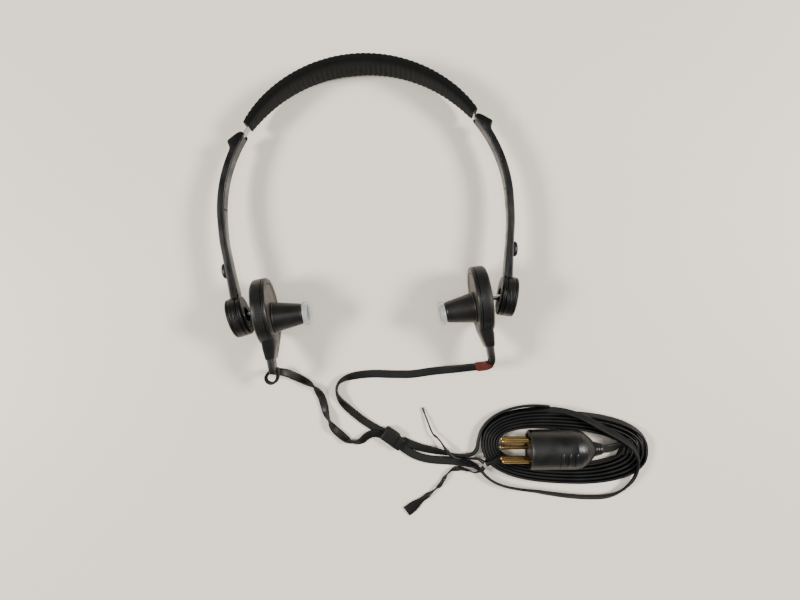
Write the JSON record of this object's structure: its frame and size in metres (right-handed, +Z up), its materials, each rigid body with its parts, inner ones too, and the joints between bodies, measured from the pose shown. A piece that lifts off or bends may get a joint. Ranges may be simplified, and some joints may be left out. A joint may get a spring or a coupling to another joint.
{
  "type": "in-ear headphones on a headband",
  "caption": "Ear speakers with short nozzles on ball joints under a light spring headband with sliding arms, and a flat cable wound up beside them that ends in a multi-pin plug.",
  "frame": {"origin": "bottom centre of the headset's bounding box, measured without the cable, on the table it lies on", "axes": "+Z up from the table, the headset lying flat; +Y towards the crown of the band; +X towards the side whose lead has the red marker"},
  "size_m": [0.1986, 0.225, 0.0321],
  "materials": {
    "pad_foam": "matt dark foam with a finely ribbed skin",
    "spring_steel": "bright spring steel",
    "arm_plastic": "black moulded plastic with a soft sheen",
    "cover_plastic": "grey-brown satin plastic",
    "pod_plastic": "dark grey satin plastic",
    "face_plate": "warm grey satin",
    "nozzle_plastic": "dark satin plastic",
    "clear_silicone": "clear soft silicone",
    "chrome": "polished",
    "electrode_brass": "bright etched plate",
    "film": "clear film",
    "cable_jacket": "dark grey satin jacket",
    "marker_red": "dull red",
    "plug_rubber": "dark grey satin rubber",
    "plug_insert": "black plastic",
    "pin_gold": "gold plated",
    "tie_plastic": "black plastic-covered wire"
  },
  "bodies": {
    "headband": {"spring_strip": "spring_steel", "headband_pad": "pad_foam", "left_lead": "cable_jacket", "right_lead": "cable_jacket", "trunk_upper": "cable_jacket", "trunk_lower": "cable_jacket", "loose_loop": "cable_jacket", "plug_lead": "cable_jacket", "splitter": "plug_rubber", "cable_hank": "cable_jacket", "plug_shell": "plug_rubber", "plug_insert": "plug_insert", "plug_pin_1": "pin_gold", "plug_pin_2": "pin_gold", "plug_pin_3": "pin_gold", "plug_pin_4": "pin_gold", "plug_pin_5": "pin_gold", "plug_cable_boot": "plug_rubber", "tie_band": "tie_plastic", "tie_thin_end": "tie_plastic", "tie_flat_end": "tie_plastic"},
    "right_slider": {"right_arm": "arm_plastic", "right_arm_cover": "cover_plastic", "right_arm_button": "arm_plastic", "right_drum_cap": "arm_plastic", "right_drum_collar": "arm_plastic", "right_ball_socket": "plug_insert"},
    "right_swivel": {"right_ball_stem": "chrome"},
    "right_earpiece": {"right_housing": "pod_plastic", "right_front_ring": "pod_plastic", "right_face_plate": "face_plate", "right_rear_electrode": "electrode_brass", "right_diaphragm": "film", "right_front_electrode": "electrode_brass", "right_nozzle": "nozzle_plastic", "right_ear_tip": "clear_silicone", "right_strain_relief": "pod_plastic", "right_lead_start": "cable_jacket", "red_marker_sleeve": "marker_red"},
    "left_slider": {"left_arm": "arm_plastic", "left_arm_cover": "cover_plastic", "left_arm_button": "arm_plastic", "left_drum_cap": "arm_plastic", "left_drum_collar": "arm_plastic", "left_ball_socket": "plug_insert"},
    "left_swivel": {"left_ball_stem": "chrome"},
    "left_earpiece": {"left_housing": "pod_plastic", "left_front_ring": "pod_plastic", "left_face_plate": "face_plate", "left_rear_electrode": "electrode_brass", "left_diaphragm": "film", "left_front_electrode": "electrode_brass", "left_nozzle": "nozzle_plastic", "left_ear_tip": "clear_silicone", "left_strain_relief": "pod_plastic", "left_lead_start": "cable_jacket"}
  },
  "joints": [
    {"name": "right_extension", "type": "hinge", "parent": "headband", "child": "right_slider", "pos_m": [0.00015, 0.00245, 0.0135], "axis": [0, -0.0541, -0.9985], "range_deg": [-0.9, 18], "deforming": ["right_lead_start", "right_lead", "red_marker_sleeve"]},
    {"name": "right_tilt", "type": "hinge", "parent": "right_slider", "child": "right_swivel", "pos_m": [0.06274, -0.04539, 0.0161], "axis": [0, 0.0541, 0.9985], "range_deg": [-21, 10], "deforming": ["right_lead_start", "right_lead", "red_marker_sleeve"]},
    {"name": "right_swivel", "type": "hinge", "parent": "right_swivel", "child": "right_earpiece", "pos_m": [0.06274, -0.04539, 0.0161], "axis": [-0.9981, -0.061, 0.0033], "range_deg": [-20, 20], "deforming": ["right_lead_start", "right_lead", "red_marker_sleeve"]},
    {"name": "left_extension", "type": "hinge", "parent": "headband", "child": "left_slider", "pos_m": [0.00015, 0.00245, 0.0135], "axis": [0, 0.0541, 0.9985], "range_deg": [-2.1, 18], "deforming": ["left_lead_start", "left_lead"]},
    {"name": "left_tilt", "type": "hinge", "parent": "left_slider", "child": "left_swivel", "pos_m": [-0.06309, -0.04451, 0.01605], "axis": [0, -0.0541, -0.9985], "range_deg": [-12, 19], "deforming": ["left_lead_start", "left_lead"]},
    {"name": "left_swivel", "type": "hinge", "parent": "left_swivel", "child": "left_earpiece", "pos_m": [-0.06309, -0.04451, 0.01605], "axis": [0.9962, 0.087, -0.0047], "range_deg": [-20, 20], "deforming": ["left_lead_start", "left_lead"]}
  ]
}
